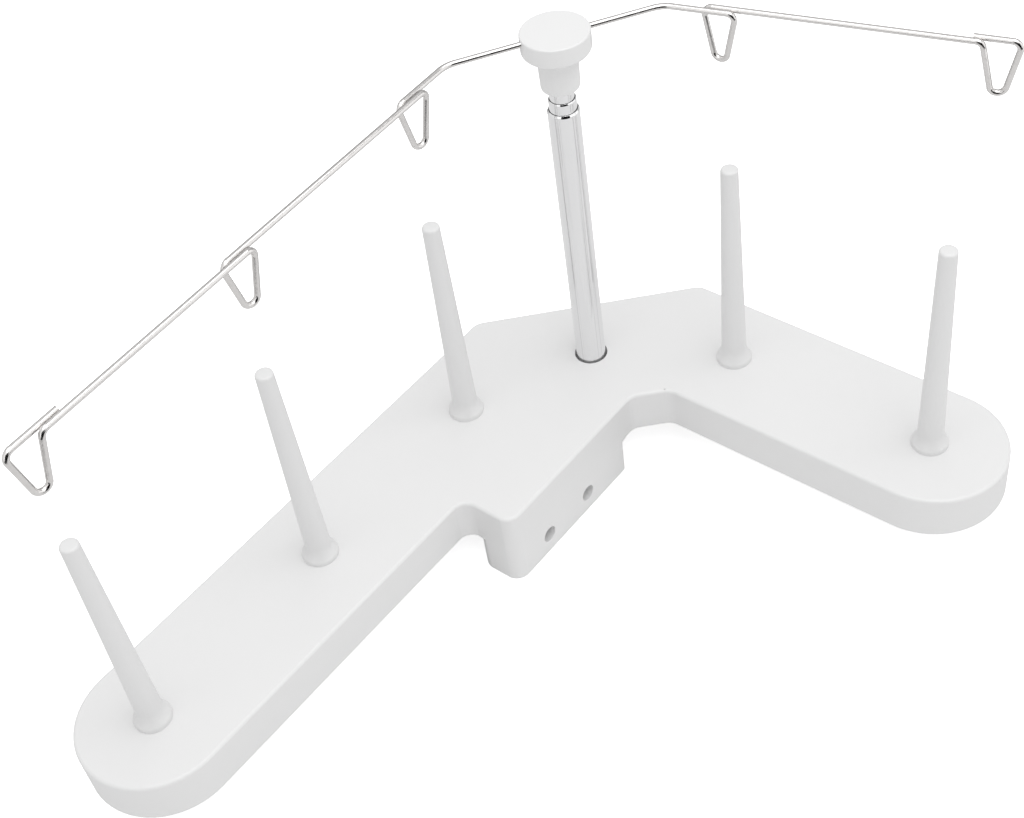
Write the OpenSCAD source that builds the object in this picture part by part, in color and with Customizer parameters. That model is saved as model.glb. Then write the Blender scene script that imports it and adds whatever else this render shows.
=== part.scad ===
// Five-spool thread rack: a V-shaped board with a mounting block, five spool pins,
// a telescopic mast and a bent wire guide with one thread loop over each pin.
// Units are millimetres. The origin is the middle of the two screw holes, on the
// block's front face. X runs along the long arm, the short arm runs towards -Y.

/* [Board] */
// Width of both arms and of the slanting middle
arm_w = 50.3; // [46:0.1:60]
// Thickness of the board
board_t = 16.5; // [16:0.5:24]
// Thickness of the outer walls
wall = 3; // [2.4:0.1:4]
// Thickness of the top plate
top_t = 3.2; // [2.4:0.1:4]
// Thickness of the stiffening ribs
rib_t = 2; // [1.2:0.1:3]
// How far the ribs stop short of the underside
rib_recess = 1; // [0.5:0.1:2]
// Distance from the mast back to the long arm's centre line
long_back = 20.3; // [14:0.1:26]
// Distance from the mast sideways to the short arm's centre line
short_side = 24.2; // [18:0.1:28]
// How far the middle of the short arm's round end lies beyond its last pin
short_over = 0.8; // [0:0.1:4]
// Radius of the board's slanting corners
corner_r = 6; // [4:0.5:9]

/* [Mounting block] */
// Length of the block
block_l = 62; // [54:1:70]
// Depth of the block under the board
block_d = 17; // [14:0.5:20]
// How far the block hangs below the board
block_drop = 15; // [13:0.5:20]
// Distance from the middle of the holes to the block's outer end
block_end = 29; // [24:0.5:34]
// Radius of the block's upright edges, except the one nearest the mast
block_r = 5; // [3:0.5:7]
// Radius of the block's upright edge nearest the mast
block_near_r = 1.2; // [0.8:0.1:4]
// Diameter of the screw holes
hole_d = 6; // [4:0.1:7]
// Distance between the screw holes
hole_pitch = 22; // [18:0.5:26]
// Height of the screw holes above the block's underside
hole_up = 8; // [6.5:0.1:9]
// Distance from the middle of the holes to the mast, along the block
mast_x = 50; // [46:0.5:54]
// Distance from the block's face back to the mast
mast_y = 25; // [22:0.5:28]

/* [Spool pins] */
// Height of a pin above the board
pin_h = 84; // [60:1:110]
// Diameter of a pin at its tip
pin_tip_d = 5.8; // [4.6:0.1:6.4]
// Diameter of a pin above its flared foot
pin_d = 8.6; // [7.6:0.1:9.4]
// Diameter of the flared foot
pin_foot_d = 12.2; // [11.6:0.1:15]
// Height of the flared foot
pin_foot_h = 6.5; // [4:0.5:9]
// Distance between neighbouring pins on an arm
pin_pitch = 76; // [70:1:90]
// Distance along the long arm from the mast to its first pin
long_first = 46.2; // [42:0.1:56]
// Distance along the short arm from the mast to its first pin
short_first = 44.9; // [42:0.1:56]
// Diameter of the spigot under a pin
spigot_d = 7; // [6:0.1:8]
// Length of the spigot under a pin
spigot_l = 9.5; // [8:0.5:10]

/* [Mast] */
// Diameter of the lowest tube
outer_d = 10.4; // [10:0.1:10.8]
// Diameter of the middle tube
middle_d = 9; // [8.8:0.1:9.1]
// Diameter of the top tube
inner_d = 8; // [7.8:0.1:8.1]
// Wall thickness of the tubes
tube_wall = 0.3; // [0.25:0.01:0.35]
// Height of the lowest tube above the board
outer_up = 107; // [80:1:150]
// How far each tube stands out of the one below when pushed in
tube_show = 4; // [2:0.5:6]
// Depth of the lowest tube in the board
mast_sink = 11; // [10:0.5:12]
// Diameter of the hole round the mast
mast_hole_d = 11.6; // [11:0.1:13]
// Length of the sliding collar at each tube's foot
collar_l = 10; // [8:0.5:14]

/* [Thread guide] */
// Height of the wire above the board with the mast pushed in
guide_h = 133.5; // [126:0.5:180]
// Diameter of the wire
wire_d = 2; // [1.6:0.1:2.4]
// Diameter of the holder's disc
disc_d = 22; // [18:0.5:26]
// Thickness of the holder's disc
disc_t = 6.8; // [5:0.1:9]
// Diameter of the holder's hub
hub_d = 13; // [11.5:0.1:15]
// Distance from the mast to each bend of the wire
guide_half = 34.5; // [30:0.5:40]
// Angle between the wire's middle and the long arm
guide_angle = 34.4; // [20:0.1:50]
// Angle of the bend towards the long arm
long_bend = 36.4; // [30:0.1:50]
// Angle of the bend towards the short arm
short_bend = 40.3; // [30:0.1:50]
// Inside radius of the two wide bends
bend_r = 8; // [4:0.5:12]
// Distance from a bend to the first loop
loop_first = 17.5; // [17:0.5:22]
// Distance between loops over the long arm
long_loop_pitch = 78; // [70:0.5:90]
// Distance between loops over the short arm
short_loop_pitch = 83; // [70:0.5:90]
// Width of a loop at its top, between wire centres
loop_w = 11; // [10:0.5:14]
// Depth of a loop, between wire centres
loop_h = 17; // [15:0.5:22]
// Radius of the loops' corners at the wire's centre
loop_r = 2.4; // [2.2:0.1:3]
// Length of the free wire end over the long arm, back from the middle of its loop
long_tail = 13; // [8:0.5:16]
// Length of the free wire end over the short arm, back from the middle of its loop
short_tail = 8.5; // [8:0.5:16]

/* [Feet and fasteners] */
// Diameter of a rubber foot at its top
foot_d = 18; // [16:0.5:20]
// How far the feet reach below the block
foot_proud = 0.5; // [0.3:0.1:1.5]
// Distance from an end pin to its neighbouring foot
foot_in = 20; // [18:0.5:26]
// Diameter of the screws in the pins
pin_screw_d = 3; // [2.5:0.1:3.5]
// Diameter of the screws in the feet and the mast
big_screw_d = 4; // [3.5:0.1:4.5]

/* [Hidden] */
$fn = 64;

// Clearances: between sliding or seated round parts, and between stacked ends
fit = 0.05;
end_gap = 0.3;
// Overlaps that keep cuts, joins and blends clean
eps = 0.5;
arc_over = 0.005;

// Heights of the block, the board and the surface that the feet stand on
block_z = -hole_up;
board_z = block_z + block_drop;
top_z = board_z + board_t;
table_z = block_z - foot_proud;

// Centre lines of the arms, where they meet the slanting middle, and the pins
half_w = arm_w / 2;
long_y = mast_y + long_back;
short_x = mast_x + short_side;
long_corner = [mast_x - long_back, long_y];
short_corner = [short_x, mast_y - short_side];
long_pin_x = mast_x - long_first;
short_pin_y = mast_y - short_first;
PINS = [
    [long_pin_x - 2 * pin_pitch, long_y],
    [long_pin_x - pin_pitch, long_y],
    [long_pin_x, long_y],
    [short_x, short_pin_y],
    [short_x, short_pin_y - pin_pitch]
];
short_end = PINS[4] - [0, short_over];
FEET = [
    PINS[0] + [foot_in, 0],
    long_corner,
    short_corner,
    PINS[4] + [0, foot_in]
];

// Pin fastening: boss, floor under the spigot, screw
pin_boss_d = spigot_d + 6;
pin_floor = 2.4;
pin_screw_head_d = 2 * pin_screw_d;
pin_screw_head_h = 1.9;
driver_gap = 2;
screw_end_gap = 1;

// Mast: wall of its boss, step of the wide hole, floor under the tube, plug and screw
mast_boss_wall = 2.5;
mast_step = 4;
mast_floor = 3;
plug_l = 9;
washer_t = 1;
big_head_d = 1.8 * big_screw_d;
big_head_h = 2.3;
washer_d = 2.7 * big_screw_d;

// Tubes: rolled lips, collars and friction rings
lip_h = 0.8;
lip_slope = 0.3;
spigot_up = 5;
ring_h = 4;
ring_depth = 0.35;
ring_slot = 1.2;
outer_r = outer_d / 2;
middle_r = middle_d / 2;
inner_r = inner_d / 2;
tube_z = top_z - mast_sink;
plug_top = tube_z + plug_l;
outer_top = top_z + outer_up;
middle_top = outer_top + tube_show;
middle_collar_z = plug_top + end_gap;
inner_collar_z = middle_collar_z + collar_l + spigot_up + end_gap;

// Guide holder: heights of its hub, disc and blind bore
wire_r = wire_d / 2;
wire_z = top_z + guide_h;
disc_top = wire_z + wire_r + 0.8;
disc_z = disc_top - disc_t;
hub_z = middle_top + tube_show;
holder_bore_top = disc_z - 1.2;
inner_top = holder_bore_top - end_gap;

// Feet: taper, recess for the washer and the screw's head, boss in the board
foot_h = board_z - table_z;
foot_bottom_d = foot_d - 2.5;
foot_recess_d = washer_d + 0.4;
foot_recess_h = foot_h / 2;
foot_boss_d = 14;
foot_thread = 9;
recess_d = 0.55;

// Colours
white = [0.93, 0.93, 0.93];
chrome = [0.80, 0.81, 0.82];
steel = [0.70, 0.70, 0.71];
brass = [0.78, 0.64, 0.36];
black = [0.12, 0.12, 0.12];

// Unit vector at an angle in the XY plane
function heading(a) = [cos(a), sin(a)];

// Piece between a corner and the arc that rounds it, for edges leaving the corner
// at angles a and b. Added in a hollow corner, cut away at an outer one. The circle
// is a hair too large, so that it crosses the edges cleanly.
module corner_piece(p, a, b, r) {
    half = abs(b - a) / 2;
    reach = r / tan(half);
    middle = heading((a + b) / 2);
    centre = p + middle * r / sin(half);
    difference() {
        polygon([p - middle * eps, p + heading(a) * reach, centre, p + heading(b) * reach]);
        translate(centre) circle(r + arc_over);
    }
}

// Outline of the board, drawn smaller all round by the inset s
module board_outline(s) {
    h = half_w - s;
    back = mast_x + mast_y + half_w * sqrt(2) - s * sqrt(2);
    front = mast_x + mast_y - half_w * sqrt(2) + s * sqrt(2);
    face_y = s;
    end_x = -block_end + s;
    long_in = long_y - h;
    short_in = short_x - h;
    difference() {
        union() {
            polygon([
                [PINS[0].x, long_in], [end_x, long_in], [end_x, face_y],
                [front - face_y, face_y], [short_in, front - short_in],
                [short_in, short_end.y], [short_x + h, short_end.y],
                [short_x + h, back - short_x - h], [back - long_y - h, long_y + h],
                [PINS[0].x, long_y + h]
            ]);
            translate(PINS[0]) circle(h);
            translate(short_end) circle(h);
            corner_piece([end_x, long_in], 180, 270, block_r + s);
            corner_piece([front - face_y, face_y], 180, 315, corner_r + s);
            corner_piece([short_in, front - short_in], 135, 270, corner_r + s);
        }
        corner_piece([end_x, face_y], 0, 90, max(block_r - s, 0.5));
        corner_piece([short_x + h, back - short_x - h], 135, 270, max(corner_r - s, 0.5));
        corner_piece([back - long_y - h, long_y + h], 180, 315, max(corner_r - s, 0.5));
    }
}

// Outline of the block under the board, drawn smaller all round by the inset s
module block_outline(s) {
    r = max(block_r - s, 0.5);
    near_r = max(block_near_r - s, 0.5);
    x0 = -block_end + s;
    x1 = block_l - block_end - s;
    y0 = s;
    y1 = block_d - s;
    difference() {
        translate([x0, y0]) square([x1 - x0, y1 - y0]);
        corner_piece([x0, y0], 0, 90, r);
        corner_piece([x1, y0], 90, 180, near_r);
        corner_piece([x1, y1], 180, 270, r);
        corner_piece([x0, y1], 270, 360, r);
    }
}

// Flat outline of a rib between two points
module rib(a, b) {
    d = b - a;
    translate(a) rotate(atan2(d.y, d.x)) translate([0, -rib_t / 2]) square([norm(d), rib_t]);
}

// Ribs along the centre lines and across the arms at thirds of the pin pitch,
// run into the outer walls
module ribs() {
    middle = [mast_x, mast_y];
    spread = heading(45) * half_w;
    translate([0, 0, board_z + rib_recess])
        linear_extrude(board_t - rib_recess - top_t / 2) intersection() {
            board_outline(wall / 2);
            union() {
                rib(PINS[0] - [half_w, 0], long_corner);
                rib(long_corner, short_corner);
                rib(short_corner, short_end - [0, half_w]);
                rib(middle - spread, middle + spread);
                for (i = [-1:6]) {
                    x = long_pin_x - i * pin_pitch / 3;
                    rib([x, long_y - arm_w], [x, long_y + arm_w]);
                }
                for (i = [0:3]) {
                    y = short_pin_y - i * pin_pitch / 3;
                    rib([short_x - half_w, y], [short_x + half_w, y]);
                }
            }
        }
}

// Round boss hanging from the top plate, reaching down to the height z
module boss(p, d, z) {
    translate([p.x, p.y, z]) cylinder(h = top_z - top_t / 2 - z, d = d);
}

// Upright hole between two heights
module hole(p, d, z0, z1) {
    translate([p.x, p.y, z0]) cylinder(h = z1 - z0, d = d);
}

// Both screw holes, as rods of a given diameter from one depth to another
module block_rods(d, y0, y1) {
    for (x = [-hole_pitch / 2, hole_pitch / 2])
        translate([x, y0, 0]) rotate([-90, 0, 0]) cylinder(h = y1 - y0, d = d);
}

// Moulded board: a shell open below, with the block, ribs and bosses
module base() {
    cavity_top = top_z - top_t;
    pin_boss_z = top_z - spigot_l - end_gap - pin_floor;
    mast_boss_z = tube_z - mast_floor;
    color(white) difference() {
        union() {
            difference() {
                translate([0, 0, board_z]) linear_extrude(board_t) board_outline(0);
                translate([0, 0, board_z - eps])
                    linear_extrude(cavity_top - board_z + eps) board_outline(wall);
            }
            difference() {
                translate([0, 0, block_z])
                    linear_extrude(cavity_top - block_z + top_t / 2) block_outline(0);
                translate([0, 0, block_z - eps])
                    linear_extrude(cavity_top - block_z + eps) block_outline(wall);
            }
            ribs();
            for (p = PINS) boss(p, pin_boss_d, pin_boss_z);
            for (p = FEET) boss(p, foot_boss_d, board_z);
            boss([mast_x, mast_y], mast_hole_d + 2 * mast_boss_wall, mast_boss_z);
            block_rods(2 * (hole_up - 1), wall / 2, block_d - wall / 2);
        }
        block_rods(hole_d, -eps, block_d + eps);
        for (p = PINS) {
            hole(p, spigot_d + 2 * fit, top_z - spigot_l - end_gap, top_z + eps);
            hole(p, pin_screw_d + 0.4, board_z - eps, top_z);
            hole(p, pin_screw_head_d + driver_gap, board_z - eps, pin_boss_z);
        }
        for (p = FEET) hole(p, big_screw_d + 2 * fit, board_z - eps, board_z + foot_thread);
        hole([mast_x, mast_y], outer_d + 2 * fit, tube_z, top_z + eps);
        hole([mast_x, mast_y], mast_hole_d, top_z - mast_step, top_z + eps);
        hole([mast_x, mast_y], big_screw_d + 0.4, board_z - eps, top_z);
        hole([mast_x, mast_y], washer_d + driver_gap, board_z - eps, mast_boss_z);
    }
}

// Spool pin: spigot, concave flared foot, tapered shaft with a rounded tip
module spool_pin(i) {
    foot_r = pin_foot_d / 2;
    shaft_r = pin_d / 2;
    tip_r = pin_tip_d / 2;
    rim_h = 1.4;
    tip_round = 0.8;
    pilot_d = pin_screw_d + 2 * fit;
    flare = [for (a = [0:15:90])
        [foot_r - (foot_r - shaft_r) * sin(a), rim_h + (pin_foot_h - rim_h) * (1 - cos(a))]];
    tip = [for (a = [0:30:90])
        [tip_r - tip_round * (1 - cos(a)), pin_h - tip_round * (1 - sin(a))]];
    color(white) translate([PINS[i - 1].x, PINS[i - 1].y, top_z]) difference() {
        rotate_extrude() polygon(concat(
            [[0, -spigot_l], [spigot_d / 2 - 0.4, -spigot_l], [spigot_d / 2, -spigot_l + 0.6],
             [spigot_d / 2, 0], [foot_r, 0]],
            flare, tip, [[0, pin_h]]
        ));
        translate([0, 0, -spigot_l - eps]) cylinder(h = spigot_l + eps, d = pilot_d);
    }
}

// Pan-head screw pointing up, with its head's underside at z = 0 and a cross recess
module screw(d, l, head_d, head_h) {
    arm = head_d * recess_d;
    difference() {
        union() {
            cylinder(h = l, d = d);
            rotate_extrude() polygon([
                [0, 0], [head_d / 2, 0], [head_d / 2, -head_h * 0.55],
                [head_d * 0.42, -head_h * 0.85], [head_d * 0.3, -head_h], [0, -head_h]
            ]);
        }
        for (a = [0, 90]) rotate([0, 0, a])
            translate([-arm / 2, -arm / 8, -head_h - eps]) cube([arm, arm / 4, head_h * 0.6 + eps]);
    }
}

// Screws that hold the five pins from below
module pin_screws() {
    z = top_z - spigot_l - end_gap - pin_floor;
    l = pin_floor + end_gap + spigot_l - screw_end_gap;
    color(steel) for (p = PINS) translate([p.x, p.y, z])
        screw(pin_screw_d, l, pin_screw_head_d, pin_screw_head_h);
}

// Thin tube with its top edge rolled inwards to guide the next tube
module lipped_tube(r, z0, z1, lip_r) {
    in_r = r - tube_wall;
    rotate_extrude() polygon([
        [in_r, z0], [r, z0], [r, z1 - lip_slope], [r - lip_slope / 2, z1],
        [lip_r, z1], [lip_r, z1 - lip_h], [in_r, z1 - lip_h - lip_slope]
    ]);
}

module mast_outer_tube() {
    color(chrome) translate([mast_x, mast_y, 0])
        lipped_tube(outer_r, tube_z, outer_top, middle_r + fit);
}

module mast_middle_tube() {
    color(chrome) translate([mast_x, mast_y, 0])
        lipped_tube(middle_r, middle_collar_z + collar_l, middle_top, inner_r + fit);
}

module mast_inner_tube() {
    z0 = inner_collar_z + collar_l;
    color(chrome) translate([mast_x, mast_y, z0]) difference() {
        cylinder(h = inner_top - z0, r = inner_r);
        translate([0, 0, -eps]) cylinder(h = inner_top - z0 + 2 * eps, r = inner_r - tube_wall);
    }
}

// Collar on a tube's foot: a spigot in the tube, a shoulder that runs in the tube
// outside it, and a groove for the friction ring
module collar(r, guide_r, z) {
    shoulder_r = guide_r - fit;
    plug_r = r - tube_wall - fit;
    bore_r = plug_r - 1.2;
    groove_z = (collar_l - ring_h) / 2;
    color(brass) translate([mast_x, mast_y, z]) rotate_extrude() polygon([
        [bore_r, 0], [shoulder_r - 0.2, 0], [shoulder_r, 0.4],
        [shoulder_r, groove_z], [shoulder_r - ring_depth, groove_z],
        [shoulder_r - ring_depth, groove_z + ring_h], [shoulder_r, groove_z + ring_h],
        [shoulder_r, collar_l], [plug_r, collar_l], [plug_r, collar_l + spigot_up],
        [bore_r, collar_l + spigot_up]
    ]);
}

module middle_tube_collar() {
    collar(middle_r, outer_r - tube_wall, middle_collar_z);
}

module inner_tube_collar() {
    collar(inner_r, middle_r - tube_wall, inner_collar_z);
}

// Split ring in a collar's groove that rubs on the tube outside it
module friction_ring(guide_r, z) {
    groove_z = (collar_l - ring_h) / 2;
    color(brass) translate([mast_x, mast_y, z + groove_z + fit]) difference() {
        cylinder(h = ring_h - 2 * fit, r = guide_r - fit / 2);
        translate([0, 0, -eps]) cylinder(h = ring_h + 2 * eps, r = guide_r - ring_depth);
        translate([0, -ring_slot / 2, -eps]) cube([guide_r + eps, ring_slot, ring_h + 2 * eps]);
    }
}

module middle_friction_ring() {
    friction_ring(outer_r - tube_wall, middle_collar_z);
}

module inner_friction_ring() {
    friction_ring(middle_r - tube_wall, inner_collar_z);
}

// Plug in the foot of the mast, tapped for the screw
module mast_foot_plug() {
    color(steel) translate([mast_x, mast_y, tube_z]) difference() {
        cylinder(h = plug_l, r = outer_r - tube_wall - fit);
        translate([0, 0, -eps]) cylinder(h = plug_l + 2 * eps, d = big_screw_d + 2 * fit);
    }
}

module mast_screw() {
    z = tube_z - mast_floor - washer_t;
    color(steel) translate([mast_x, mast_y, z])
        screw(big_screw_d, washer_t + mast_floor + plug_l - screw_end_gap, big_head_d, big_head_h);
}

module washer(p, z) {
    translate([p.x, p.y, z]) difference() {
        cylinder(h = washer_t, d = washer_d);
        translate([0, 0, -eps]) cylinder(h = washer_t + 2 * eps, d = big_screw_d + 0.3);
    }
}

module mast_washer() {
    color(steel) washer([mast_x, mast_y], tube_z - mast_floor - washer_t);
}

// Mushroom-shaped holder on the top tube, with the wire's cross hole in its disc
module guide_holder() {
    disc_r = disc_d / 2;
    hub_r = hub_d / 2;
    hub_foot_r = hub_r - 0.25;
    edge = 0.5;
    edge_low = 1;
    color(white) translate([mast_x, mast_y, 0]) difference() {
        rotate_extrude() polygon([
            [0, hub_z], [hub_foot_r - edge_low, hub_z], [hub_foot_r - 0.3, hub_z + 0.3],
            [hub_foot_r, hub_z + edge_low], [hub_r, disc_z], [disc_r - edge_low, disc_z],
            [disc_r - 0.3, disc_z + 0.3], [disc_r, disc_z + edge_low],
            [disc_r, disc_top - edge], [disc_r - 0.15, disc_top - 0.15],
            [disc_r - edge, disc_top], [0, disc_top]
        ]);
        translate([0, 0, hub_z - eps])
            cylinder(h = holder_bore_top - hub_z + eps, r = inner_r + fit);
        translate([0, 0, wire_z]) rotate([90, 0, 90 - guide_angle])
            cylinder(h = disc_d + 2 * eps, r = wire_r + fit, center = true);
    }
}

// Points of a middle loop, going outwards: far corner, bottom, near corner.
// Each is [distance from the bend, sideways shift, height].
wire_pitch = wire_d + 0.25;
wire_let_in = 0.15;
wire_thinner = 0.02;
loop_low = loop_h - loop_r;
loop_reach = norm([loop_w / 2, loop_low]);
loop_lean = atan2(loop_w / 2, loop_low) - asin(loop_r / loop_reach);
loop_tip = loop_w / 2 / tan(loop_lean);

function middle_loop(s, k) = [
    [s + loop_w / 2, k, 0], [s, k + wire_pitch / 2, -loop_tip], [s - loop_w / 2, k + wire_pitch, 0]
];

// Points of an end loop: near corner, bottom, far corner, free end
function end_loop(s, k, side, tail) = [
    [s - loop_w / 2, k, 0], [s, k + side * wire_pitch / 2, -loop_tip],
    [s + loop_w / 2, k + side * wire_pitch, 0], [s - tail, k + side * wire_pitch, 0]
];

// Route of the wire over one arm, from the bend outwards, turned into place
function arm_route(bend, a, pitch, count, side, tail) = let (
    local = [for (i = [0:count - 1]) each i < count - 1
        ? middle_loop(loop_first + i * pitch, i * wire_pitch)
        : end_loop(loop_first + i * pitch, i * wire_pitch, side, tail)]
) [for (q = local) [
    bend.x + q[0] * cos(a) - q[1] * sin(a),
    bend.y + q[0] * sin(a) + q[1] * cos(a),
    wire_z + q[2]
]];

long_wire_corner = [mast_x, mast_y] - guide_half * heading(-guide_angle);
short_wire_corner = [mast_x, mast_y] + guide_half * heading(-guide_angle);
long_way = 180 - guide_angle + long_bend;
short_way = -guide_angle - short_bend;
LONG_ROUTE = arm_route(long_wire_corner, long_way, long_loop_pitch, 3, -1, long_tail);
SHORT_ROUTE = arm_route(short_wire_corner, short_way, short_loop_pitch, 2, 1, short_tail);
LONG_COUNT = len(LONG_ROUTE);
WIRE = concat(
    [for (i = [LONG_COUNT - 1:-1:0]) LONG_ROUTE[i]],
    [[long_wire_corner.x, long_wire_corner.y, wire_z]],
    [[short_wire_corner.x, short_wire_corner.y, wire_z]],
    SHORT_ROUTE
);
LAST = len(WIRE) - 1;

function unit(v) = v / norm(v);
function along(i) = unit(WIRE[i + 1] - WIRE[i]);
function turn(i) = acos(along(i - 1) * along(i));
function bend_radius(i) = (i == LONG_COUNT || i == LONG_COUNT + 1) ? bend_r + wire_r : loop_r;
// Length that the rounding of a point takes from the straights beside it
function cut_back(i) = (i == 0 || i == LAST) ? 0 : bend_radius(i) * tan(turn(i) / 2);

// Straight piece of wire after point i, a hair thinner than the bends and let into them
module wire_straight(i) {
    d = along(i);
    s0 = i == 0 ? 0 : cut_back(i) - wire_let_in;
    s1 = i == LAST - 1 ? 0 : cut_back(i + 1) - wire_let_in;
    translate(WIRE[i] + d * s0)
        rotate([0, acos(d.z), atan2(d.y, d.x)])
            cylinder(h = norm(WIRE[i + 1] - WIRE[i]) - s0 - s1, r = wire_r - wire_thinner);
}

// Curved piece of wire round point i
module wire_bend(i) {
    r = bend_radius(i);
    y = along(i - 1);
    z = unit(cross(along(i - 1), along(i)));
    x = cross(y, z);
    start = WIRE[i] - y * cut_back(i);
    c = start - x * r;
    multmatrix([
        [x[0], y[0], z[0], c[0]], [x[1], y[1], z[1], c[1]], [x[2], y[2], z[2], c[2]], [0, 0, 0, 1]
    ]) rotate_extrude(angle = turn(i)) translate([r, 0]) circle(wire_r);
}

// One length of wire with a loop over every pin
module thread_guide_wire() {
    color(steel) {
        for (i = [0:LAST - 1]) wire_straight(i);
        for (i = [1:LAST - 1]) wire_bend(i);
    }
}

// Tapered rubber foot with a recess for its washer and screw
module rubber_foot(i) {
    r1 = foot_d / 2;
    r0 = foot_bottom_d / 2;
    edge = 0.8;
    color(black) translate([FEET[i - 1].x, FEET[i - 1].y, table_z]) difference() {
        rotate_extrude() polygon([
            [0, 0], [r0 - edge, 0], [r0 - edge / 3, edge / 3], [r0, edge], [r1, foot_h - edge],
            [r1 - edge / 3, foot_h - edge / 3], [r1 - edge, foot_h], [0, foot_h]
        ]);
        translate([0, 0, -eps]) cylinder(h = foot_recess_h + eps, d = foot_recess_d);
        cylinder(h = foot_h + eps, d = big_screw_d + 0.4);
    }
}

module foot_washers() {
    color(steel) for (p = FEET) washer(p, table_z + foot_recess_h - washer_t);
}

module foot_screws() {
    z = table_z + foot_recess_h - washer_t;
    l = board_z - z + foot_thread - screw_end_gap;
    color(steel) for (p = FEET) translate([p.x, p.y, z])
        screw(big_screw_d, l, big_head_d, big_head_h);
}

base();
spool_pin(1);  // spool_pin_1
spool_pin(2);  // spool_pin_2
spool_pin(3);  // spool_pin_3
spool_pin(4);  // spool_pin_4
spool_pin(5);  // spool_pin_5
pin_screws();
mast_outer_tube();
mast_middle_tube();
mast_inner_tube();
middle_tube_collar();
inner_tube_collar();
middle_friction_ring();
inner_friction_ring();
mast_foot_plug();
mast_screw();
mast_washer();
guide_holder();
thread_guide_wire();
rubber_foot(1);  // rubber_foot_1
rubber_foot(2);  // rubber_foot_2
rubber_foot(3);  // rubber_foot_3
rubber_foot(4);  // rubber_foot_4
foot_washers();
foot_screws();
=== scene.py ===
"""Visible pieces, finishes and studio for a five-spool thread rack."""
import math
from collections import namedtuple

import bmesh
import bpy
from bpy.props import FloatProperty, FloatVectorProperty, IntProperty, PointerProperty
from mathutils import Matrix, Quaternion, Vector


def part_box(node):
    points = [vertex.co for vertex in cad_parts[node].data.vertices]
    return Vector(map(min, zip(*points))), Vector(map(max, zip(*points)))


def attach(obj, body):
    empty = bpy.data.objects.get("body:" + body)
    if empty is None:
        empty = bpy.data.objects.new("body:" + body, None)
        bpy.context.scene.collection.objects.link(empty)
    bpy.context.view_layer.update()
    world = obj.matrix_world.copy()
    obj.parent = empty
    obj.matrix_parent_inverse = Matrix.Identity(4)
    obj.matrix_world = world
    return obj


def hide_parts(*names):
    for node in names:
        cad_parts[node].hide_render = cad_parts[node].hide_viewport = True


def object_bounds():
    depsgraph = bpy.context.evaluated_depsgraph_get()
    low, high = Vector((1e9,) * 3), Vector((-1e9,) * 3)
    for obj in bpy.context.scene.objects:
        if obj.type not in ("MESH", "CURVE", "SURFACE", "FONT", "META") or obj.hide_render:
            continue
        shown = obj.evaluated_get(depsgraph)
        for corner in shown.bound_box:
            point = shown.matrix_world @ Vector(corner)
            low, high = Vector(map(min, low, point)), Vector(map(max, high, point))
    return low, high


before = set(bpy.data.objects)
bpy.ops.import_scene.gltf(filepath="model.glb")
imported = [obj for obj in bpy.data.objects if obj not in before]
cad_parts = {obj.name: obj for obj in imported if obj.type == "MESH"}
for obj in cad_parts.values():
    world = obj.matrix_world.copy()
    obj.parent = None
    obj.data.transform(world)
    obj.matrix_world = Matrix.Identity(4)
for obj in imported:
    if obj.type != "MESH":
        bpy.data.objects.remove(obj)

bl_info = {
    "name": "Thread Rack",
    "version": (1, 0, 0),
    "blender": (4, 5, 0),
    "location": "3D View > Sidebar > Thread Rack",
    "description": "Builds the visible pieces of a five-spool thread rack and its studio",
    "category": "Add Mesh",
}

MM = 0.001
CAD_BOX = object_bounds()
PIN_COUNT = 5
FOOT_COUNT = 4
BOARD_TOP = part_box("base")[1].z
BLOCK_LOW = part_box("base")[0].z
BOARD_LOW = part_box("rubber_foot_1")[1].z
TABLE_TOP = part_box("rubber_foot_1")[0].z
EAST = Vector((1.0, 0.0, 0.0))
NORTH = Vector((0.0, 1.0, 0.0))
UP = Vector((0.0, 0.0, 1.0))

# Roundings and steps of the profiles that are too small to be a setting
RING_STEPS = 4
SPIGOT_EDGE = 0.4 * MM
TUBE_EDGE = 0.08 * MM
SHOULDER_EDGE = 0.12 * MM
LIP_EDGE = 0.04 * MM
LIP_LOW_EDGE = 0.05 * MM
LIP_RETURN = 0.3 * MM
BORE_EDGE = 0.2 * MM
HUB_ROOT_EDGE = 0.3 * MM

# How near an edge of the board's top is to a pin's or the mast's axis to belong to its hole
PIN_SOCKET_REACH = 6.0 * MM
MAST_HOLE_REACH = 8.0 * MM

# Tolerances for joining and finding parts of a mesh
CAD_WELD = 0.002 * MM
LATHE_WELD = 0.0005 * MM
FLAT_WITHIN = math.radians(0.3)
ON_LEVEL = 0.002 * MM
ON_RING = 0.004 * MM
LEVEL_FACE = 0.99
UPRIGHT_FACE = 0.1

# Range of a noise texture that a finish uses
NOISE_LOW = 0.3
NOISE_HIGH = 0.7

# Painted dark reflection streaks along the tubes, set round the mast towards the camera: angle
# round the mast and width in degrees, and darkening
PaintedStreak = namedtuple("PaintedStreak", "place width depth")
PAINTED_REFLECTION_STREAKS = (
    PaintedStreak(-175.1, 3.0, 0.16),
    PaintedStreak(-166.1, 2.0, 0.06),
    PaintedStreak(-110.1, 3.0, 0.12),
    PaintedStreak(-93.1, 3.0, 0.16),
    PaintedStreak(20.0, 3.0, 0.12),
)

# The studio: gaps under the rack, the lamp's place over its middle, and where strips lie
FLOOR_DROP = 0.05 * MM
SCREEN_LIFT = 1.0 * MM
LAMP_OFFSET = (0.05, -0.3)
LAMP_HEIGHT = 1.5
STRIP_AZIMUTHS = (105, 165)


def centre_of(node):
    """Middle of a CAD node's box, as (x, y)."""
    low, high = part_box(node)
    return (low.x + high.x) / 2, (low.y + high.y) / 2


def radius_of(node):
    """Half the width of a CAD node's box."""
    low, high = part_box(node)
    return (high.x - low.x) / 2


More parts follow.
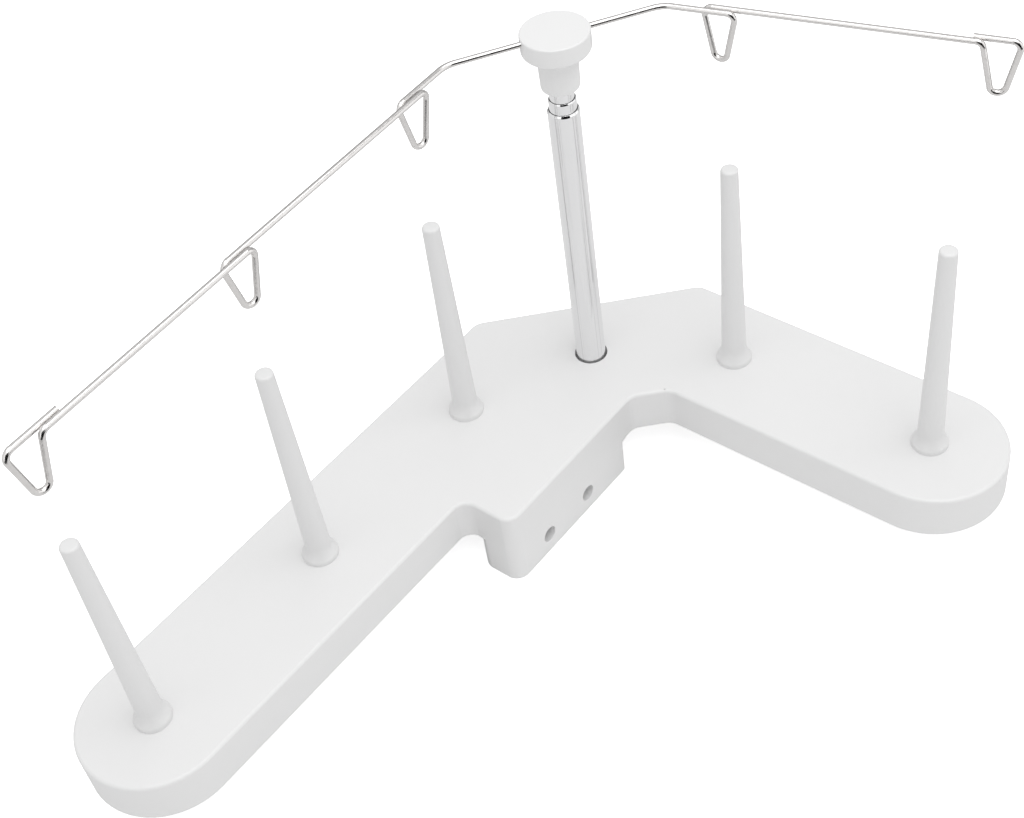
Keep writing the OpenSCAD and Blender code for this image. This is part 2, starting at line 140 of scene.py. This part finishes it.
def way_at(azimuth, elevation=0.0):
    """Direction from the rack towards a camera at that azimuth and elevation, in radians."""
    level = math.cos(elevation)
    return Vector((math.sin(azimuth) * level, -math.cos(azimuth) * level, math.sin(elevation)))


def length(text, default, description=""):
    """A size that a user may change, in metres."""
    return FloatProperty(
        name=text, description=description or text, default=default, min=0.0, unit="LENGTH",
        precision=4,
    )


def share(text, default, description=""):
    """A share from 0 to 1 that a user may change."""
    return FloatProperty(
        name=text, description=description or text, default=default, min=0.0, max=1.0,
        subtype="FACTOR",
    )


def angle(text, degrees, description=""):
    """An angle that a user may change, given here in degrees and kept in radians."""
    return FloatProperty(
        name=text, description=description or text, default=math.radians(degrees),
        subtype="ANGLE",
    )


def count(text, default, least, description=""):
    """A number of segments or rings that a user may change."""
    return IntProperty(
        name=text, description=description or text, default=default, min=least,
    )


def colour(text, default, description=""):
    """A colour that a user may change."""
    return FloatVectorProperty(
        name=text, description=description or text, default=default, size=3, min=0.0, max=1.0,
        subtype="COLOR",
    )


class BoardSettings(bpy.types.PropertyGroup):
    """Finish and edges of the moulded board."""

    top_edge: length("Top edge radius", 1.0 * MM, "Rounding of the board's upper edges")
    low_edge: length("Lower edge radius", 0.35 * MM, "Rounding of the board's lower outer edges")
    hole_edge: length("Hole edge radius", 0.15 * MM, "Rounding of the hole round the mast")
    edge_steps: count("Edge steps", 3, 1, "Segments in each rounded edge")
    plastic: colour("Plastic", (0.80, 0.80, 0.80), "Colour of the board's plastic")
    roughness: share("Roughness", 0.42, "Roughness of the board's plastic")


class PinSettings(bpy.types.PropertyGroup):
    """Shape and finish of the spool pins."""

    tip_d: length("Tip diameter", 5.8 * MM, "Diameter at a pin's top")
    shaft_d: length("Shaft diameter", 8.6 * MM, "Diameter just above the flared foot")
    foot_h: length("Foot height", 6.5 * MM, "Height of the flared foot")
    rim_h: length("Rim height", 1.4 * MM, "Height of the rim round the foot")
    rim_round: length("Rim rounding", 0.5 * MM, "Rounding of the rim's upper edge")
    tip_round: length("Tip rounding", 0.9 * MM, "Rounding of a pin's top edge")
    spigot_d: length("Spigot diameter", 7.0 * MM, "Diameter of the spigot in the board")
    sides: count("Sides", 64, 12, "Segments round a pin")
    flare_steps: count("Flare steps", 14, 4, "Rings in the flared foot")
    plastic: colour("Plastic", (0.785, 0.785, 0.785), "Colour of the pins' plastic")
    roughness: share("Roughness", 0.36, "Roughness of the pins' plastic")


class MastSettings(bpy.types.PropertyGroup):
    """Shape and finish of the telescopic mast."""

    wall: length("Tube wall", 0.3 * MM, "Thickness of a tube's wall")
    lip_h: length("Lip height", 1.0 * MM, "Height of the lip rolled round each tube's top")
    lip_in: share("Lip cone", 0.7, "Share of the lip's width that the cone outside it takes")
    lip_slope: FloatProperty(
        name="Lip slope", description="Height of the cone over its width", default=1.9, min=0.1,
    )
    lip_gap: length("Lip gap", 0.15 * MM, "Gap between a lip and the tube inside it")
    sides: count("Sides", 96, 12, "Segments round a tube")
    chrome: colour("Chrome", (0.835, 0.835, 0.84), "Colour of the tubes' bright plate")
    brass: colour("Brass", (0.78, 0.60, 0.30), "Colour of the collars and friction rings")
    roughness: share("Roughness", 0.09, "Roughness of the tubes' bright plate")


class GuideSettings(bpy.types.PropertyGroup):
    """Shape and finish of the wire and its holder."""

    disc_t: length("Disc thickness", 6.8 * MM, "Thickness of the holder's disc")
    hub_d: length("Hub diameter", 13.0 * MM, "Diameter of the hub under the disc")
    hub_taper: length("Hub taper", 0.5 * MM, "How much narrower the hub is at its foot")
    disc_edge: length("Disc edge radius", 0.6 * MM, "Rounding of the disc's upper edge")
    disc_low_edge: length("Disc lower edge radius", 1.0 * MM, "Rounding of its lower edge")
    hub_edge: length("Hub edge radius", 1.0 * MM, "Rounding of the hub's lower edge")
    bore_d: length("Bore diameter", 8.1 * MM, "Diameter of the blind bore for the top tube")
    bore_roof: length("Bore roof", 1.2 * MM, "Distance from the bore's end to the disc")
    sides: count("Sides", 96, 12, "Segments round the holder")
    plastic: colour("Plastic", (0.82, 0.82, 0.82), "Colour of the holder's plastic")
    roughness: share("Roughness", 0.34, "Roughness of the holder's plastic")
    wire: colour("Wire", (0.72, 0.705, 0.695), "Colour of the bright plated wire")
    wire_roughness: share("Wire roughness", 0.18, "Roughness of the bright plated wire")


class HardwareSettings(bpy.types.PropertyGroup):
    """Finish of the feet, screws and washers."""

    rubber: colour("Rubber", (0.022, 0.022, 0.023), "Colour of the rubber feet")
    steel: colour("Steel", (0.60, 0.60, 0.61), "Colour of the zinc-plated screws and washers")


class StudioSettings(bpy.types.PropertyGroup):
    """Camera, lamp and backdrop."""

    camera_place: FloatVectorProperty(
        name="Camera place", description="Where the camera stands", size=3,
        default=(-0.2686, -0.2513, 0.4352), subtype="TRANSLATION", unit="LENGTH",
    )
    focal: FloatProperty(
        name="Focal length", description="Lens, on a 36 mm sensor", default=57.72, min=1.0,
        unit="CAMERA",
    )
    azimuth: angle("Azimuth", 315.2, "Camera azimuth, from straight in front")
    elevation: angle("Elevation", 45.9, "Camera elevation above the table")
    roll: angle("Roll", -9.6, "Camera roll about its line of sight")
    floor_size: length("Floor size", 6.0, "Width of the square floor")
    floor: colour("Floor", (0.93, 0.93, 0.93), "Colour of the floor")
    floor_to_camera: share("Floor glow", 0.75, "Light that the floor adds for the camera")
    floor_in_metal: share("Floor in metal", 0.88, "Share of the floor's brightness in metal")
    sky: share("Sky light", 0.65, "Strength of the even light from all round")
    sky_in_metal: FloatProperty(
        name="Sky in metal", description="Brightness of the sky in metal", default=1.25, min=0.0,
    )
    lamp_size: length("Lamp size", 1.6, "Width of the square lamp overhead")
    lamp_power: FloatProperty(
        name="Lamp power", description="Power of the lamp overhead", default=13.2, min=0.0,
        unit="POWER",
    )


def finish_piece(bm, name, body, node, material, sharp=35.0):
    """Adds a bmesh as an object at the origin that rides on a body and stands for a CAD node."""
    mesh = bpy.data.meshes.new(name)
    bm.to_mesh(mesh)
    bm.free()
    mesh.shade_smooth()
    mesh.set_sharp_from_angle(angle=math.radians(sharp))
    piece = bpy.data.objects.new(name, mesh)
    bpy.context.scene.collection.objects.link(piece)
    mesh.materials.append(material)
    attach(piece, body)
    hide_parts(node)
    return piece


def even_shading(piece):
    """Lets large faces set a piece's shading, so that small roundings don't spread over them."""
    even = piece.modifiers.new("even_shading", "WEIGHTED_NORMAL")
    even.keep_sharp = True


def merged_copy(node):
    """A bmesh of a CAD node's mesh with its loose triangles joined."""
    bm = bmesh.new()
    bm.from_mesh(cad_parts[node].data)
    bmesh.ops.remove_doubles(bm, verts=bm.verts, dist=CAD_WELD)
    bmesh.ops.dissolve_limit(
        bm, angle_limit=FLAT_WITHIN, use_dissolve_boundaries=False, verts=bm.verts,
        edges=bm.edges,
    )
    return bm


def rim_edges(bm, height, up):
    """Edges at a height between an upright face and a level one that faces up (1) or down (-1)."""
    found = []
    for edge in bm.edges:
        if len(edge.link_faces) != 2:
            continue
        if any(abs(v.co.z - height) > ON_LEVEL for v in edge.verts):
            continue
        level = any(f.normal.z * up > LEVEL_FACE for f in edge.link_faces)
        upright = any(abs(f.normal.z) < UPRIGHT_FACE for f in edge.link_faces)
        if level and upright:
            found.append(edge)
    return found


def is_near(edge, centre, reach):
    """Whether an edge's middle lies within a reach of the upright axis at (x, y)."""
    x, y = (edge.verts[0].co.xy + edge.verts[1].co.xy) / 2
    return math.hypot(x - centre[0], y - centre[1]) < reach


def ring_edges(bm, centre, radius, height):
    """Edges that lie on a ring of that radius and height."""
    x, y = centre

    def on_ring(vert):
        reach = math.hypot(vert.co.x - x, vert.co.y - y)
        return abs(reach - radius) < ON_RING and abs(vert.co.z - height) < ON_RING

    return [e for e in bm.edges if on_ring(e.verts[0]) and on_ring(e.verts[1])]


def lathe(profile, centre, sides):
    """Spins points of (radius, height, rounding) into a closed solid and rounds its rings."""
    x, y = centre
    bm = bmesh.new()
    points = [bm.verts.new((x + r, y, z)) for r, z, _ in profile]
    edges = [bm.edges.new(pair) for pair in zip(points, points[1:])]
    bmesh.ops.spin(
        bm, geom=points + edges, cent=(x, y, 0.0), axis=(0.0, 0.0, 1.0), angle=math.tau,
        steps=sides, use_merge=True,
    )
    bmesh.ops.remove_doubles(bm, verts=bm.verts, dist=LATHE_WELD)
    bmesh.ops.recalc_face_normals(bm, faces=bm.faces)
    for r, z, rounding in profile:
        if rounding:
            bmesh.ops.bevel(
                bm, geom=ring_edges(bm, centre, r, z), offset=rounding, offset_type="OFFSET",
                segments=RING_STEPS, profile=0.5, affect="EDGES", clamp_overlap=False,
                material=-1, loop_slide=True,
            )
    return bm


class Nodes:
    """The node tree of a material or a world, being made."""

    def __init__(self, owner):
        owner.use_nodes = True
        self.tree = owner.node_tree

    def node(self, kind, **values):
        """Adds a node and sets its own values."""
        made = self.tree.nodes.new(kind)
        for key, value in values.items():
            setattr(made, key, value)
        return made

    def link(self, source, target):
        """Joins two sockets."""
        self.tree.links.new(source, target)

    def level_for(self, ray, more, base):
        """A level that is base, a number or a socket, and more than that for one kind of ray."""
        path = self.node("ShaderNodeLightPath")
        level = self.node("ShaderNodeMath", operation="MULTIPLY_ADD")
        level.inputs[1].default_value = more
        self.link(path.outputs[ray], level.inputs[0])
        if isinstance(base, float):
            level.inputs[2].default_value = base
        else:
            self.link(base, level.inputs[2])
        return level.outputs[0]


class Finish(Nodes):
    """A material being made: its tree, its shader and its object coordinates."""

    def __init__(self, name, base, roughness, metallic=0.0, ior=1.5):
        self.material = bpy.data.materials.new(name)
        super().__init__(self.material)
        self.shader = self.tree.nodes["Principled BSDF"]
        self.shader.inputs["Base Color"].default_value = (*base, 1.0)
        self.shader.inputs["Roughness"].default_value = roughness
        self.shader.inputs["Metallic"].default_value = metallic
        self.shader.inputs["IOR"].default_value = ior
        self.coordinates = self.node("ShaderNodeTexCoord")
        self.material.diffuse_color = (*base, 1.0)

    def noise(self, scale, detail=3.0, stretch=(1.0, 1.0, 1.0)):
        """Noise in object space, in features per metre, drawn out along an axis if asked."""
        mapping = self.node("ShaderNodeMapping")
        mapping.inputs["Scale"].default_value = stretch
        self.link(self.coordinates.outputs["Object"], mapping.inputs["Vector"])
        texture = self.node("ShaderNodeTexNoise")
        texture.inputs["Scale"].default_value = scale
        texture.inputs["Detail"].default_value = detail
        self.link(mapping.outputs["Vector"], texture.inputs["Vector"])
        return texture.outputs["Fac"]

    def spread(self, value, low, high):
        """Varies the roughness from low to high with a noise."""
        span = self.node("ShaderNodeMapRange")
        span.inputs["From Min"].default_value = NOISE_LOW
        span.inputs["From Max"].default_value = NOISE_HIGH
        span.inputs["To Min"].default_value = low
        span.inputs["To Max"].default_value = high
        self.link(value, span.inputs["Value"])
        self.link(span.outputs["Result"], self.shader.inputs["Roughness"])

    def tint(self, value, first, second):
        """Varies the base colour between two colours with a noise."""
        mix = self.node("ShaderNodeMix", data_type="RGBA")
        ends = [s for s in mix.inputs if s.type == "RGBA"]
        for end, tone in zip(ends, (first, second)):
            end.default_value = (*tone, 1.0)
        factor = next(s for s in mix.inputs if s.name == "Factor" and s.type == "VALUE")
        result = next(s for s in mix.outputs if s.type == "RGBA")
        self.link(value, factor)
        self.link(result, self.shader.inputs["Base Color"])

    def paint_reflection_streaks(self, axis, lines):
        """Paints dark reflection streaks into the base colour on narrow lines along an upright
        axis at (x, y).
        """
        moved = self.node("ShaderNodeVectorMath", operation="SUBTRACT")
        moved.inputs[1].default_value = (*axis, 0.0)
        self.link(self.coordinates.outputs["Object"], moved.inputs[0])
        split = self.node("ShaderNodeSeparateXYZ")
        self.link(moved.outputs[0], split.inputs[0])
        turn = self.node("ShaderNodeMath", operation="ARCTAN2")
        self.link(split.outputs["Y"], turn.inputs[0])
        self.link(split.outputs["X"], turn.inputs[1])
        for line in lines:
            hit = self.node("ShaderNodeMath", operation="COMPARE")
            hit.inputs[1].default_value = math.radians(line.place)
            hit.inputs[2].default_value = math.radians(line.width / 2)
            self.link(turn.outputs[0], hit.inputs[0])
            self.darken(hit.outputs[0], line.depth)

    def darken(self, mask, depth):
        """Makes the base colour darker by a share where a mask is 1."""
        target = self.shader.inputs["Base Color"]
        before = target.links[0].from_socket
        level = self.node("ShaderNodeMath", operation="MULTIPLY_ADD")
        level.inputs[1].default_value = -depth
        level.inputs[2].default_value = 1.0
        self.link(mask, level.inputs[0])
        dark = self.node("ShaderNodeVectorMath", operation="SCALE")
        self.link(before, dark.inputs[0])
        self.link(level.outputs[0], dark.inputs["Scale"])
        self.link(dark.outputs[0], target)

    def bump(self, value, height):
        """Raises the surface by noise, by a height in metres."""
        raised = self.node("ShaderNodeBump")
        raised.inputs["Strength"].default_value = 1.0
        raised.inputs["Distance"].default_value = height
        self.link(value, raised.inputs["Height"])
        self.link(raised.outputs["Normal"], self.shader.inputs["Normal"])


def shade(base, factor):
    """A colour made lighter or darker."""
    return tuple(min(1.0, c * factor) for c in base)


def moulded_plastic(name, base, roughness):
    """Satin moulded plastic with a fine grain and a faint cloudiness."""
    finish = Finish(name, base, roughness, ior=1.47)
    cloud = finish.noise(scale=22.0, detail=4.0)
    finish.tint(cloud, shade(base, 0.985), shade(base, 1.012))
    finish.spread(finish.noise(scale=260.0), roughness - 0.05, roughness + 0.05)
    finish.bump(finish.noise(scale=2600.0, detail=4.0), 0.004 * MM)
    return finish.material


def drawn_chrome(name, base, roughness, axis):
    """Bright plate over a drawn tube, with hairlines and painted dark reflection streaks along it.
    """
    finish = Finish(name, base, roughness, metallic=1.0)
    hairlines = finish.noise(scale=900.0, stretch=(1.0, 1.0, 0.012))
    finish.tint(hairlines, shade(base, 0.95), shade(base, 1.02))
    # painted reflection: dark streaks in the base colour at fixed angles round the tube
    finish.paint_reflection_streaks(axis, PAINTED_REFLECTION_STREAKS)
    finish.spread(finish.noise(scale=120.0), roughness * 0.8, roughness * 1.6)
    finish.bump(hairlines, 0.0012 * MM)
    return finish.material


def plated_wire(name, base, roughness):
    """Bright nickel plate on spring wire, with soft draw marks."""
    finish = Finish(name, base, roughness, metallic=1.0)
    marks = finish.noise(scale=420.0, detail=4.0)
    finish.tint(marks, shade(base, 0.9), shade(base, 1.06))
    finish.spread(finish.noise(scale=900.0, detail=2.0), roughness * 0.7, roughness * 1.4)
    finish.bump(finish.noise(scale=1800.0), 0.003 * MM)
    return finish.material


def turned_metal(name, base, roughness):
    """Turned or zinc-plated metal with fine tool marks."""
    finish = Finish(name, base, roughness, metallic=1.0)
    marks = finish.noise(scale=700.0, stretch=(1.0, 1.0, 6.0))
    finish.tint(marks, shade(base, 0.88), shade(base, 1.06))
    finish.spread(marks, roughness * 0.75, roughness * 1.3)
    finish.bump(marks, 0.004 * MM)
    return finish.material


def soft_rubber(name, base):
    """Matt moulded rubber with a fine pitted grain."""
    finish = Finish(name, base, 0.78)
    grain = finish.noise(scale=1500.0, detail=5.0)
    finish.tint(finish.noise(scale=60.0, detail=4.0), shade(base, 0.8), shade(base, 1.35))
    finish.spread(grain, 0.68, 0.86)
    finish.bump(grain, 0.03 * MM)
    return finish.material


def dress(nodes, material):
    """Gives carried-over CAD nodes a finish."""
    for node in nodes:
        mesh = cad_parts[node].data
        mesh.materials.clear()
        mesh.materials.append(material)


class THREADRACK_OT_board(bpy.types.Operator):
    """Board with its block, ribs and bosses, its outer edges rounded"""

    bl_idname = "thread_rack.board"
    bl_label = "Board"

    def execute(self, context):
        s = context.scene.rack_board
        pins = [centre_of(f"spool_pin_{i}") for i in range(1, PIN_COUNT + 1)]
        mast = centre_of("mast_outer_tube")
        bm = merged_copy("base")
        weight = bm.edges.layers.float.new("bevel_weight_edge")
        for edge in rim_edges(bm, BOARD_TOP, 1):
            if any(is_near(edge, pin, PIN_SOCKET_REACH) for pin in pins):
                continue  # a pin's foot hides its socket
            hole = is_near(edge, mast, MAST_HOLE_REACH)
            edge[weight] = s.hole_edge / s.top_edge if hole else 1.0
        for height in (BOARD_LOW, BLOCK_LOW):
            for edge in rim_edges(bm, height, -1):
                edge[weight] = s.low_edge / s.top_edge
        material = moulded_plastic("board_plastic", s.plastic, s.roughness)
        board = finish_piece(bm, "moulded_board", "base", "base", material)
        rounding = board.modifiers.new("rounded_edges", "BEVEL")
        rounding.limit_method = "WEIGHT"
        rounding.width = s.top_edge
        rounding.segments = s.edge_steps
        rounding.use_clamp_overlap = False
        even_shading(board)
        return {"FINISHED"}


class THREADRACK_OT_pins(bpy.types.Operator):
    """Five tapered spool pins with flared feet"""

    bl_idname = "thread_rack.pins"
    bl_label = "Spool pins"

    def execute(self, context):
        s = context.scene.rack_pins
        material = moulded_plastic("pin_plastic", s.plastic, s.roughness)
        shaft_r = s.shaft_d / 2
        flare_h = s.foot_h - s.rim_h
        for i in range(1, PIN_COUNT + 1):
            node = f"spool_pin_{i}"
            low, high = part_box(node)
            foot_r = radius_of(node)
            flare = []
            for step in range(1, s.flare_steps + 1):
                rise = step / s.flare_steps
                reach = shaft_r + (foot_r - shaft_r) * (1 - rise) ** 2
                flare.append((reach, BOARD_TOP + s.rim_h + flare_h * rise, 0))
            profile = [
                (0, low.z, 0),
                (s.spigot_d / 2, low.z, SPIGOT_EDGE),
                (s.spigot_d / 2, BOARD_TOP, 0),
                (foot_r, BOARD_TOP, 0),
                (foot_r, BOARD_TOP + s.rim_h, s.rim_round),
                *flare,
                (s.tip_d / 2, high.z, s.tip_round),
                (0, high.z, 0),
            ]
            bm = lathe(profile, centre_of(node), s.sides)
            pin = finish_piece(bm, f"tapered_pin_{i}", "base", node, material)
            even_shading(pin)
        return {"FINISHED"}


class THREADRACK_OT_mast(bpy.types.Operator):
    """Three telescopic tubes with rolled lips, and the collars inside them"""

    bl_idname = "thread_rack.mast"
    bl_label = "Mast"

    def execute(self, context):
        s = context.scene.rack_mast
        axis = centre_of("mast_outer_tube")
        chrome = drawn_chrome("tube_chrome", s.chrome, s.roughness, axis)
        for node, body, inside in (
            ("mast_outer_tube", "base", "mast_middle_tube"),
            ("mast_middle_tube", "middle_section", "mast_inner_tube"),
        ):
            low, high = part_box(node)
            outer = radius_of(node)
            inner = outer - s.wall
            lip = radius_of(inside) + s.lip_gap
            cone = (outer - lip) * s.lip_in
            profile = [
                (outer, low.z, TUBE_EDGE),
                (outer, high.z - cone * s.lip_slope, SHOULDER_EDGE),
                (outer - cone, high.z, LIP_EDGE),
                (lip, high.z, LIP_EDGE),
                (lip, high.z - s.lip_h, LIP_LOW_EDGE),
                (inner, high.z - s.lip_h - LIP_RETURN, 0),
                (inner, low.z, TUBE_EDGE),
                (outer, low.z, 0),
            ]
            bm = lathe(profile, centre_of(node), s.sides)
            tube = finish_piece(bm, f"{node}_rolled", body, node, chrome, sharp=50.0)
            even_shading(tube)
        dress(["mast_inner_tube"], chrome)
        brass = turned_metal("collar_brass", s.brass, 0.28)
        for part in ("tube_collar", "friction_ring"):
            dress([f"middle_{part}", f"inner_{part}"], brass)
        return {"FINISHED"}


class THREADRACK_OT_holder(bpy.types.Operator):
    """Mushroom-shaped holder on top of the mast"""

    bl_idname = "thread_rack.holder"
    bl_label = "Guide holder"

    def execute(self, context):
        s = context.scene.rack_guide
        low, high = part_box("guide_holder")
        disc_r = radius_of("guide_holder")
        hub_r = s.hub_d / 2
        disc_low = high.z - s.disc_t
        bore_r = s.bore_d / 2
        bore_top = disc_low - s.bore_roof
        profile = [
            (0, bore_top, 0),
            (bore_r, bore_top, 0),
            (bore_r, low.z, BORE_EDGE),
            (hub_r - s.hub_taper / 2, low.z, s.hub_edge),
            (hub_r, disc_low, HUB_ROOT_EDGE),
            (disc_r, disc_low, s.disc_low_edge),
            (disc_r, high.z, s.disc_edge),
            (0, high.z, 0),
        ]
        bm = lathe(profile, centre_of("guide_holder"), s.sides)
        material = moulded_plastic("holder_plastic", s.plastic, s.roughness)
        even_shading(
            finish_piece(bm, "mushroom_holder", "guide", "guide_holder", material)
        )
        return {"FINISHED"}


class THREADRACK_OT_wire(bpy.types.Operator):
    """Bent wire with a loop over each pin"""

    bl_idname = "thread_rack.wire"
    bl_label = "Guide wire"

    def execute(self, context):
        s = context.scene.rack_guide
        dress(["thread_guide_wire"], plated_wire("wire_nickel", s.wire, s.wire_roughness))
        return {"FINISHED"}


class THREADRACK_OT_hardware(bpy.types.Operator):
    """Rubber feet, screws, washers and the plug in the mast's foot"""

    bl_idname = "thread_rack.hardware"
    bl_label = "Feet and fasteners"

    def execute(self, context):
        s = context.scene.rack_hardware
        steel = turned_metal("zinc_steel", s.steel, 0.3)
        dress(["pin_screws", "mast_screw", "mast_washer"], steel)
        dress(["foot_washers", "foot_screws", "mast_foot_plug"], steel)
        rubber = soft_rubber("foot_rubber", s.rubber)
        dress([f"rubber_foot_{i}" for i in range(1, FOOT_COUNT + 1)], rubber)
        return {"FINISHED"}


def white_backdrop(name, base, to_camera, in_metal):
    """Pale surface that the camera sees as near white and metal as light grey."""
    material = bpy.data.materials.new(name)
    made = Nodes(material)
    made.tree.nodes.clear()
    tone = made.node("ShaderNodeVectorMath", operation="SCALE")
    tone.inputs[0].default_value = base
    made.link(made.level_for("Is Glossy Ray", in_metal - 1.0, 1.0), tone.inputs["Scale"])
    diffuse = made.node("ShaderNodeBsdfDiffuse")
    made.link(tone.outputs[0], diffuse.inputs["Color"])
    glow = made.node("ShaderNodeEmission")
    made.link(made.level_for("Is Camera Ray", to_camera, 0.0), glow.inputs["Strength"])
    both = made.node("ShaderNodeAddShader")
    made.link(diffuse.outputs[0], both.inputs[0])
    made.link(glow.outputs[0], both.inputs[1])
    output = made.node("ShaderNodeOutputMaterial")
    made.link(both.outputs[0], output.inputs["Surface"])
    return material


def even_sky(strength, in_metal):
    """World that is white to the camera, brighter in metal and gentler as a light."""
    world = bpy.data.worlds.new("studio_sky")
    bpy.context.scene.world = world
    made = Nodes(world)
    background = made.tree.nodes["Background"]
    background.inputs["Color"].default_value = (1.0, 1.0, 1.0, 1.0)
    level = strength
    for ray in ("Is Camera Ray", "Is Transmission Ray"):
        level = made.level_for(ray, 1.0 - strength, level)
    level = made.level_for("Is Glossy Ray", in_metal - strength, level)
    made.link(level, background.inputs["Strength"])


def area_lamp(name, place, target, size, power):
    """Square soft lamp aimed at a point."""
    lamp = bpy.data.lights.new(name, "AREA")
    lamp.size = size
    lamp.energy = power
    obj = bpy.data.objects.new(name, lamp)
    obj.location = place
    obj.rotation_mode = "QUATERNION"
    obj.rotation_quaternion = (target - Vector(place)).to_track_quat("-Z", "Y")
    bpy.context.scene.collection.objects.link(obj)


def stage_sheet(name, place, half, material):
    """Adds a square sheet of that half width, moved by a matrix, which isn't part of the rack."""
    bm = bmesh.new()
    bmesh.ops.create_grid(bm, x_segments=1, y_segments=1, size=half, matrix=place)
    mesh = bpy.data.meshes.new(name)
    bm.to_mesh(mesh)
    bm.free()
    mesh.materials.append(material)
    sheet = bpy.data.objects.new(name, mesh)
    bpy.context.scene.collection.objects.link(sheet)
    return sheet


def mirror_screen(name, centre, facing, along, size, level):
    """Screen of plain brightness that only shows in shiny surfaces: its facing, long way, size."""
    z = facing.normalized()
    x = (along - z * z.dot(along)).normalized()
    axes = Matrix((x, z.cross(x), z)).transposed().to_4x4()
    stretch = Matrix.Diagonal((size[0] / 2, size[1] / 2, 1.0, 1.0))
    material = bpy.data.materials.new(name)
    made = Nodes(material)
    glow = made.node("ShaderNodeEmission")
    glow.inputs["Strength"].default_value = level
    made.link(glow.outputs[0], made.tree.nodes["Material Output"].inputs["Surface"])
    material.cycles.emission_sampling = "NONE"
    screen = stage_sheet(name, Matrix.Translation(centre) @ axes @ stretch, 1.0, material)
    screen.visible_camera = False
    screen.visible_diffuse = False
    screen.visible_shadow = False
    screen.visible_transmission = False


class THREADRACK_OT_stage(bpy.types.Operator):
    """Floor, sky, lamp, screens for the metal to mirror, and camera"""

    bl_idname = "thread_rack.stage"
    bl_label = "Studio"

    def execute(self, context):
        s = context.scene.rack_studio
        middle = (CAD_BOX[0] + CAD_BOX[1]) / 2
        floor = white_backdrop("floor_white", s.floor, s.floor_to_camera, s.floor_in_metal)
        level = Matrix.Translation((middle.x, middle.y, TABLE_TOP - FLOOR_DROP))
        stage_sheet("studio_floor", level, s.floor_size / 2, floor)
        even_sky(s.sky, s.sky_in_metal)
        over = (middle.x + LAMP_OFFSET[0], middle.y + LAMP_OFFSET[1], LAMP_HEIGHT)
        area_lamp("overhead_softbox", over, middle, s.lamp_size, s.lamp_power)
        self.screens(middle, s)
        self.camera(context, s)
        context.scene.view_settings.view_transform = "Standard"
        return {"FINISHED"}

    def screens(self, middle, s):
        """Screens that give the bright metal its streaks."""
        towards = way_at(s.azimuth)
        right = Vector((-towards.y, towards.x, 0.0))
        foot = Vector((middle.x, middle.y, TABLE_TOP + SCREEN_LIFT))
        # Ways that the wire's long side mirrors along its middle and its upper half
        gap = Vector((0.49, -0.494, 0.718))
        grey = Vector((0.49, 0.298, 0.818))
        strips = []
        mast_foot = Vector((*centre_of("mast_outer_tube"), foot.z))
        for azimuth in STRIP_AZIMUTHS:
            way = way_at(math.radians(azimuth))
            strips.append(
                (f"table_strip_{azimuth}", mast_foot + way * 1.18, UP, way, (1.9, 0.09), 0.2)
            )
        for name, centre, facing, along, size, level in (
            ("dark_room", foot + towards * 1.3 + right * 0.15 + UP * 0.58,
             -towards, right, (1.6, 1.16), 0.01),
            ("table_edge", foot + towards * 1.18 + right * 0.35 + UP * MM,
             UP, right, (1.7, 1.7), 0.01),
            ("far_wall", foot - towards * 1.5 + UP * 0.7, towards, right, (5.0, 1.4), 0.42),
            ("side_wall", foot - right * 1.4 + UP * 1.3, right, towards, (2.0, 2.6), 0.88),
            ("bright_table", foot + EAST * 0.4 - NORTH * 1.15, UP, EAST, (2.4, 1.5), 1.35),
            ("right_wall", foot + EAST * 1.5 + UP * 1.15, -EAST, NORTH, (1.6, 2.3), 0.5),
            *strips,
            ("lamp_gap", middle + gap * 1.5, -gap, EAST, (0.9, 0.2), 0.03),
            ("grey_ceiling", middle + grey * 1.2, -grey, EAST, (1.3, 0.8), 0.7),
        ):
            mirror_screen(name, centre, facing, along, size, level)

    def camera(self, context, s):
        """Camera at the photograph's viewing angle."""
        data = bpy.data.cameras.new("camera")
        data.lens = s.focal
        camera = bpy.data.objects.new("camera", data)
        camera.location = s.camera_place
        camera.rotation_mode = "QUATERNION"
        back = way_at(s.azimuth, s.elevation)
        roll = Quaternion(UP, s.roll)
        camera.rotation_quaternion = (-back).to_track_quat("-Z", "Y") @ roll
        context.scene.collection.objects.link(camera)
        context.scene.camera = camera


class THREADRACK_PT_panel(bpy.types.Panel):
    """Sizes, colours and build steps of the thread rack"""

    bl_label = "Thread Rack"
    bl_space_type = "VIEW_3D"
    bl_region_type = "UI"
    bl_category = "Thread Rack"

    def draw(self, context):
        for operator in OPERATORS:
            self.layout.operator(operator.bl_idname)
        for name, kind in SETTINGS.items():
            box = self.layout.box()
            box.label(text=kind.__doc__)
            for key in kind.__annotations__:
                box.prop(getattr(context.scene, name), key)


SETTINGS = {
    "rack_board": BoardSettings,
    "rack_pins": PinSettings,
    "rack_mast": MastSettings,
    "rack_guide": GuideSettings,
    "rack_hardware": HardwareSettings,
    "rack_studio": StudioSettings,
}
OPERATORS = (
    THREADRACK_OT_board,
    THREADRACK_OT_pins,
    THREADRACK_OT_mast,
    THREADRACK_OT_holder,
    THREADRACK_OT_wire,
    THREADRACK_OT_hardware,
    THREADRACK_OT_stage,
)


def register():
    """Adds the settings, operators and panel."""
    for name, kind in SETTINGS.items():
        bpy.utils.register_class(kind)
        setattr(bpy.types.Scene, name, PointerProperty(type=kind))
    for kind in (*OPERATORS, THREADRACK_PT_panel):
        bpy.utils.register_class(kind)


def unregister():
    """Takes the settings, operators and panel away again."""
    for kind in (THREADRACK_PT_panel, *reversed(OPERATORS)):
        bpy.utils.unregister_class(kind)
    for name, kind in SETTINGS.items():
        delattr(bpy.types.Scene, name)
        bpy.utils.unregister_class(kind)


def main():
    """Builds the whole rack and its studio."""
    register()
    for operator in OPERATORS:
        group, step = operator.bl_idname.split(".")
        getattr(getattr(bpy.ops, group), step)()


if __name__ == "__main__":
    main()
